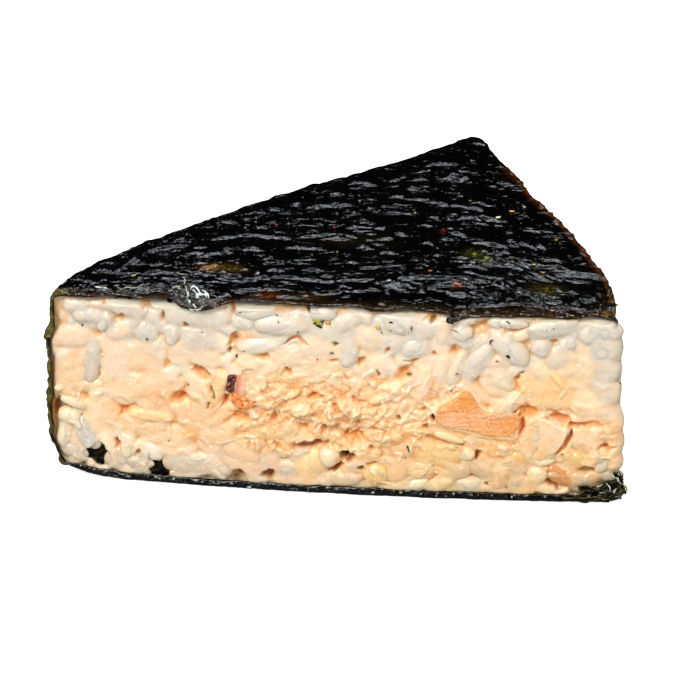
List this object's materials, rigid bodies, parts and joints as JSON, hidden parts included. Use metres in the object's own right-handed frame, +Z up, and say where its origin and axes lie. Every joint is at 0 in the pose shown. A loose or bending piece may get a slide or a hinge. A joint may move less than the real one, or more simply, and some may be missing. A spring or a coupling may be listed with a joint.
{
  "type": "triangular rice ball, cut in half",
  "caption": "Nori-wrapped triangular rice ball lying flat, cut open to show packed rice and a layer of flaked salmon filling.",
  "frame": {"origin": "centre of the bounding box in X and Y, on the plane the block rests on", "axes": "+Z up from the resting plane; the cut face looks along -Y; +X runs along the cut face to its right-hand end as seen from the front"},
  "size_m": [0.0858, 0.0654, 0.0304],
  "materials": {
    "nori": "near-black roasted seaweed sheet, glossy where damp, olive and brown at thin edges",
    "rice": "moist translucent white cooked rice",
    "filling": "creamy peach flaked salmon dressing, moist",
    "salmon": "cooked salmon flesh with fine dark speckles, moist"
  },
  "bodies": {
    "root": {"nori_wrap": "nori", "rice": "rice", "salmon_filling": "filling", "salmon_chunk_large": "salmon", "salmon_chunk_folded": "salmon", "salmon_chunk_seared": "salmon"}
  },
  "joints": []
}
